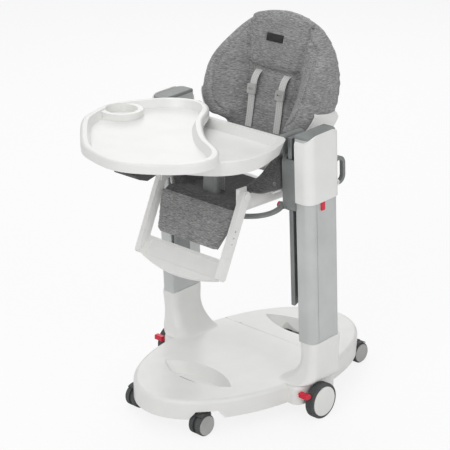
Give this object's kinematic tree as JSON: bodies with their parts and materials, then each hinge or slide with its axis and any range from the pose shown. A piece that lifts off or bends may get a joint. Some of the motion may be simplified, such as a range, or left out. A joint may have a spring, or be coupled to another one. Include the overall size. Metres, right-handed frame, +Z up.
{
  "type": "baby high chair",
  "caption": "Height-adjustable baby high chair on a wheeled oval base, with reclining padded seat, legrest, lower tray and loose upper tray.",
  "frame": {"origin": "on the floor, under the middle of the whole chair's bounding box", "axes": "+Z up, the chair faces -Y, +X is the sitter's left"},
  "size_m": [0.597, 0.9609, 1.0518],
  "materials": {
    "white_plastic": "satin white moulded plastic, fine grain",
    "column_grey": "light grey satin extrusion",
    "rail_grey": "mid grey satin extrusion",
    "grey_plastic": "mid grey matte plastic",
    "dark_plastic": "dark grey matte plastic",
    "caster_grey": "grey plastic hub discs with dark tread",
    "tyre_rubber": "dark grey rubber",
    "red_plastic": "bright red plastic",
    "steel": "plain steel pin",
    "fabric": "grey melange weave",
    "webbing": "pale grey woven webbing"
  },
  "bodies": {
    "base": {"base_platform": "white_plastic", "column_foot_left": "white_plastic", "column_foot_right": "white_plastic", "column_left": "column_grey", "column_right": "column_grey", "column_rail_left": "rail_grey", "column_rail_right": "rail_grey", "column_cap_left": "grey_plastic", "column_cap_right": "grey_plastic", "wheel_axles": "steel", "fold_pins": "steel"},
    "rear_lobe": {"rear_platform": "white_plastic"},
    "carriage": {"carriage_shell_left": "white_plastic", "carriage_shell_right": "white_plastic", "carriage_plate_left": "grey_plastic", "carriage_plate_right": "grey_plastic"},
    "release_bar": {"release_bar": "grey_plastic", "bar_triggers": "red_plastic"},
    "seat": {"seat_shell": "white_plastic", "seat_cushion": "fabric", "seat_frame_left": "grey_plastic", "seat_frame_right": "grey_plastic", "pivot_pins": "steel", "crotch_strap": "webbing", "harness_buckle": "dark_plastic", "snap_buttons": "steel"},
    "backrest": {"back_shell": "white_plastic", "back_cushion": "fabric", "harness_strap_left": "webbing", "harness_strap_right": "webbing", "strap_adjusters": "grey_plastic"},
    "recline_lever": {"recline_lever": "grey_plastic"},
    "legrest": {"legrest_arm_left": "white_plastic", "legrest_arm_right": "white_plastic", "pivot_knobs": "dark_plastic", "calf_plate": "grey_plastic", "calf_pad": "fabric"},
    "footboard": {"footboard": "white_plastic"},
    "tray": {"lower_tray": "white_plastic", "crotch_post": "grey_plastic"},
    "tray_grip": {"tray_grip": "dark_plastic"},
    "upper_tray": {"upper_tray": "white_plastic"},
    "height_lever_left": {"height_lever_left": "grey_plastic"},
    "height_lock_left": {"height_lock_left": "red_plastic"},
    "side_wheel_left": {"side_tyre_left": "tyre_rubber", "side_hub_left": "white_plastic"},
    "brake_left": {"brake_pedal_left": "red_plastic"},
    "height_lever_right": {"height_lever_right": "grey_plastic"},
    "height_lock_right": {"height_lock_right": "red_plastic"},
    "side_wheel_right": {"side_tyre_right": "tyre_rubber", "side_hub_right": "white_plastic"},
    "brake_right": {"brake_pedal_right": "red_plastic"},
    "caster_front_left": {"caster_housing_front_left": "dark_plastic"},
    "caster_wheel_front_left": {"caster_wheels_front_left": "caster_grey"},
    "caster_front_right": {"caster_housing_front_right": "dark_plastic"},
    "caster_wheel_front_right": {"caster_wheels_front_right": "caster_grey"},
    "caster_rear_left": {"caster_housing_rear_left": "dark_plastic"},
    "caster_wheel_rear_left": {"caster_wheels_rear_left": "caster_grey"},
    "caster_rear_right": {"caster_housing_rear_right": "dark_plastic"},
    "caster_wheel_rear_right": {"caster_wheels_rear_right": "caster_grey"}
  },
  "joints": [
    {"name": "seat_height", "type": "slide", "parent": "base", "child": "carriage", "axis": [0, -0.0523, 0.9986], "range_m": [-0.24, 0]},
    {"name": "rocking", "type": "hinge", "parent": "carriage", "child": "seat", "pos_m": [0, 0.059, 0.7], "axis": [1, 0, 0], "range_deg": [-4, 4]},
    {"name": "release_bar_pull", "type": "hinge", "parent": "carriage", "child": "release_bar", "pos_m": [0, 0.014, 0.6], "axis": [-1, 0, 0], "range_deg": [0, 6], "stiffness_Nm_per_rad": 2, "springref_deg": -5.73},
    {"name": "recline", "type": "hinge", "parent": "seat", "child": "backrest", "pos_m": [0, 0.154, 0.632], "axis": [-1, 0, 0], "range_deg": [0, 48]},
    {"name": "recline_lever_pull", "type": "hinge", "parent": "backrest", "child": "recline_lever", "pos_m": [0, 0.25051, 0.91886], "axis": [-1, 0, 0], "range_deg": [0, 10], "stiffness_Nm_per_rad": 0.5, "springref_deg": -8.59},
    {"name": "legrest_tilt", "type": "hinge", "parent": "seat", "child": "legrest", "pos_m": [0, -0.086, 0.64], "axis": [-1, 0, 0], "range_deg": [0, 60]},
    {"name": "footboard_slide", "type": "slide", "parent": "legrest", "child": "footboard", "axis": [0, -0.4067, -0.9135], "range_m": [0, 0.04]},
    {"name": "tray_slide", "type": "slide", "parent": "seat", "child": "tray", "axis": [0, -1, 0], "range_m": [0, 0.05]},
    {"name": "tray_grip_pull", "type": "slide", "parent": "tray", "child": "tray_grip", "axis": [0, -1, 0], "range_m": [0, 0.008], "stiffness_N_per_m": 400, "springref_m": -0.004},
    {"name": "upper_tray_lift", "type": "slide", "parent": "tray", "child": "upper_tray", "axis": [0, 0, 1], "range_m": [0, 0.12]},
    {"name": "rear_fold", "type": "hinge", "parent": "base", "child": "rear_lobe", "pos_m": [0, 0.219, 0.0955], "axis": [1, 0, 0], "range_deg": [0, 85]},
    {"name": "height_lever_left", "type": "hinge", "parent": "carriage", "child": "height_lever_left", "pos_m": [0.2567, 0.1414, 0.64785], "axis": [-1, 0, 0], "range_deg": [0, 10], "stiffness_Nm_per_rad": 1, "springref_deg": -8.59},
    {"name": "height_lock_left", "type": "slide", "parent": "carriage", "child": "height_lock_left", "axis": [0, 0.0523, -0.9986], "range_m": [0, 0.006]},
    {"name": "side_wheel_left", "type": "hinge", "parent": "base", "child": "side_wheel_left", "pos_m": [0.2835, 0.074, 0.05], "axis": [1, 0, 0], "continuous": true},
    {"name": "brake_left", "type": "hinge", "parent": "base", "child": "brake_left", "pos_m": [0.27, 0.013, 0.08], "axis": [1, 0, 0], "range_deg": [0, 12]},
    {"name": "height_lever_right", "type": "hinge", "parent": "carriage", "child": "height_lever_right", "pos_m": [-0.2567, 0.1414, 0.64785], "axis": [-1, 0, 0], "range_deg": [0, 10], "stiffness_Nm_per_rad": 1, "springref_deg": -8.59},
    {"name": "height_lock_right", "type": "slide", "parent": "carriage", "child": "height_lock_right", "axis": [0, 0.0523, -0.9986], "range_m": [0, 0.006]},
    {"name": "side_wheel_right", "type": "hinge", "parent": "base", "child": "side_wheel_right", "pos_m": [-0.2835, 0.074, 0.05], "axis": [1, 0, 0], "continuous": true},
    {"name": "brake_right", "type": "hinge", "parent": "base", "child": "brake_right", "pos_m": [-0.27, 0.013, 0.08], "axis": [1, 0, 0], "range_deg": [0, 12]},
    {"name": "caster_swivel_front_left", "type": "hinge", "parent": "base", "child": "caster_front_left", "pos_m": [0.122, -0.203, 0.068], "axis": [0, 0, 1], "continuous": true},
    {"name": "caster_roll_front_left", "type": "hinge", "parent": "caster_front_left", "child": "caster_wheel_front_left", "pos_m": [0.122, -0.22, 0.03], "axis": [1, 0, 0], "continuous": true},
    {"name": "caster_swivel_front_right", "type": "hinge", "parent": "base", "child": "caster_front_right", "pos_m": [-0.122, -0.203, 0.068], "axis": [0, 0, 1], "continuous": true},
    {"name": "caster_roll_front_right", "type": "hinge", "parent": "caster_front_right", "child": "caster_wheel_front_right", "pos_m": [-0.122, -0.22, 0.03], "axis": [1, 0, 0], "continuous": true},
    {"name": "caster_swivel_rear_left", "type": "hinge", "parent": "rear_lobe", "child": "caster_rear_left", "pos_m": [0.122, 0.401, 0.068], "axis": [0, 0, 1], "continuous": true},
    {"name": "caster_roll_rear_left", "type": "hinge", "parent": "caster_rear_left", "child": "caster_wheel_rear_left", "pos_m": [0.122, 0.418, 0.03], "axis": [1, 0, 0], "continuous": true},
    {"name": "caster_swivel_rear_right", "type": "hinge", "parent": "rear_lobe", "child": "caster_rear_right", "pos_m": [-0.122, 0.401, 0.068], "axis": [0, 0, 1], "continuous": true},
    {"name": "caster_roll_rear_right", "type": "hinge", "parent": "caster_rear_right", "child": "caster_wheel_rear_right", "pos_m": [-0.122, 0.418, 0.03], "axis": [1, 0, 0], "continuous": true}
  ]
}
